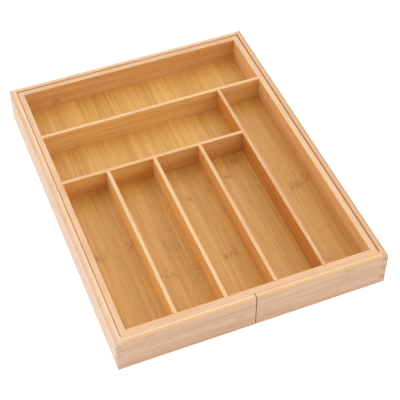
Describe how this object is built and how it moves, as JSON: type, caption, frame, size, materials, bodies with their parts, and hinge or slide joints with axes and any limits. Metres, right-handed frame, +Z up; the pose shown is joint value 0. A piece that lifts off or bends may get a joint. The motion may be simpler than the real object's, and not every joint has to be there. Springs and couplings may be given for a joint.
{
  "type": "expandable drawer organizer",
  "caption": "Shallow bamboo drawer organizer with open bins in a centre unit and a sliding tray on each side that widens it to fill a drawer.",
  "frame": {"origin": "middle of the closed organizer's footprint, on the surface it stands on", "axes": "+X to the right, the way the right tray slides out; +Y from the front to the back of the drawer; +Z up"},
  "size_m": [0.33, 0.432, 0.05],
  "materials": {
    "tray_walls": "laminated bamboo, pale pinkish tan, satin clear lacquer",
    "centre_walls": "laminated bamboo, warm orange brown, satin clear lacquer",
    "dividers": "bamboo strip, light tan edges, satin clear lacquer",
    "centre_floor_board": "edge-glued bamboo strips running front to back, golden tan, satin clear lacquer",
    "tray_floor_boards": "edge-glued bamboo strips running front to back, golden tan, satin clear lacquer",
    "pins": "turned bamboo dowel, unlacquered"
  },
  "bodies": {
    "centre_unit": {"centre_floor": "centre_floor_board", "centre_front_wall": "centre_walls", "centre_back_wall": "centre_walls", "centre_left_wall": "centre_walls", "centre_right_wall": "centre_walls", "back_cross_divider": "dividers", "middle_cross_divider": "dividers", "divider_1": "dividers", "divider_2": "dividers", "divider_3": "dividers", "long_divider": "dividers"},
    "left_tray": {"left_side_wall": "tray_walls", "left_front_wall": "tray_walls", "left_back_wall": "tray_walls", "left_floor": "tray_floor_boards", "left_front_pin": "pins", "left_back_pin": "pins"},
    "right_tray": {"right_side_wall": "tray_walls", "right_front_wall": "tray_walls", "right_back_wall": "tray_walls", "right_floor": "tray_floor_boards", "right_front_pin": "pins", "right_back_pin": "pins"}
  },
  "joints": [
    {"name": "left_tray_slide", "type": "slide", "parent": "centre_unit", "child": "left_tray", "axis": [-1, 0, 0], "range_m": [0, 0.115]},
    {"name": "right_tray_slide", "type": "slide", "parent": "centre_unit", "child": "right_tray", "axis": [1, 0, 0], "range_m": [0, 0.115]}
  ]
}
